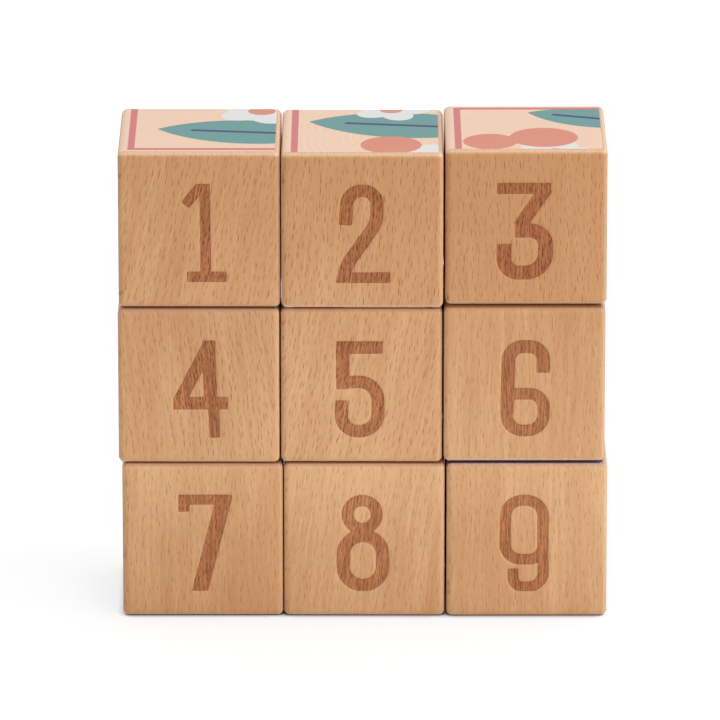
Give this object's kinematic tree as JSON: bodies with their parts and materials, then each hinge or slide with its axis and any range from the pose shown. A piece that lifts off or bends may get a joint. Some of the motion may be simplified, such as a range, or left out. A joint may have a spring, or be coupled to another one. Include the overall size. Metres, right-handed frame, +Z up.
{
  "type": "cube puzzle",
  "caption": "Wooden cube puzzle: loose solid beech cubes stacked as a wall, with burnt numerals on the fronts and parts of pictures printed on the other faces.",
  "frame": {"origin": "on the table, under the middle of the wall's box", "axes": "+Z up, -Y the way the numerals face, +X to the right of someone who reads them"},
  "size_m": [0.1368, 0.0468, 0.1362],
  "materials": {
    "beech": "sanded, thin clear satin lacquer"
  },
  "bodies": {
    "block_8": {"block_8": "beech"},
    "block_7": {"block_7": "beech"},
    "block_9": {"block_9": "beech"},
    "block_4": {"block_4": "beech"},
    "block_5": {"block_5": "beech"},
    "block_6": {"block_6": "beech"},
    "block_1": {"block_1": "beech"},
    "block_2": {"block_2": "beech"},
    "block_3": {"block_3": "beech"}
  },
  "joints": [
    {"name": "push_left_column", "type": "slide", "parent": "block_8", "child": "block_7", "axis": [-1, 0, 0], "range_m": [0, 0.06]},
    {"name": "push_right_column", "type": "slide", "parent": "block_8", "child": "block_9", "axis": [1, 0, 0], "range_m": [0, 0.06]},
    {"name": "lift_block_4", "type": "slide", "parent": "block_7", "child": "block_4", "axis": [0, 0, 1], "range_m": [0, 0.095]},
    {"name": "lift_block_5", "type": "slide", "parent": "block_8", "child": "block_5", "axis": [0, 0, 1], "range_m": [0, 0.095]},
    {"name": "lift_block_6", "type": "slide", "parent": "block_9", "child": "block_6", "axis": [0, 0, 1], "range_m": [0, 0.095]},
    {"name": "roll_block_1", "type": "hinge", "parent": "block_4", "child": "block_1", "pos_m": [-0.04558, -0.02265, 0.0906], "axis": [1, 0, 0], "range_deg": [0, 90]},
    {"name": "roll_block_2", "type": "hinge", "parent": "block_5", "child": "block_2", "pos_m": [-0.00028, -0.02325, 0.0906], "axis": [1, 0, 0], "range_deg": [0, 90]},
    {"name": "roll_block_3", "type": "hinge", "parent": "block_6", "child": "block_3", "pos_m": [0.04512, -0.0219, 0.0912], "axis": [1, 0, 0], "range_deg": [0, 90]}
  ]
}
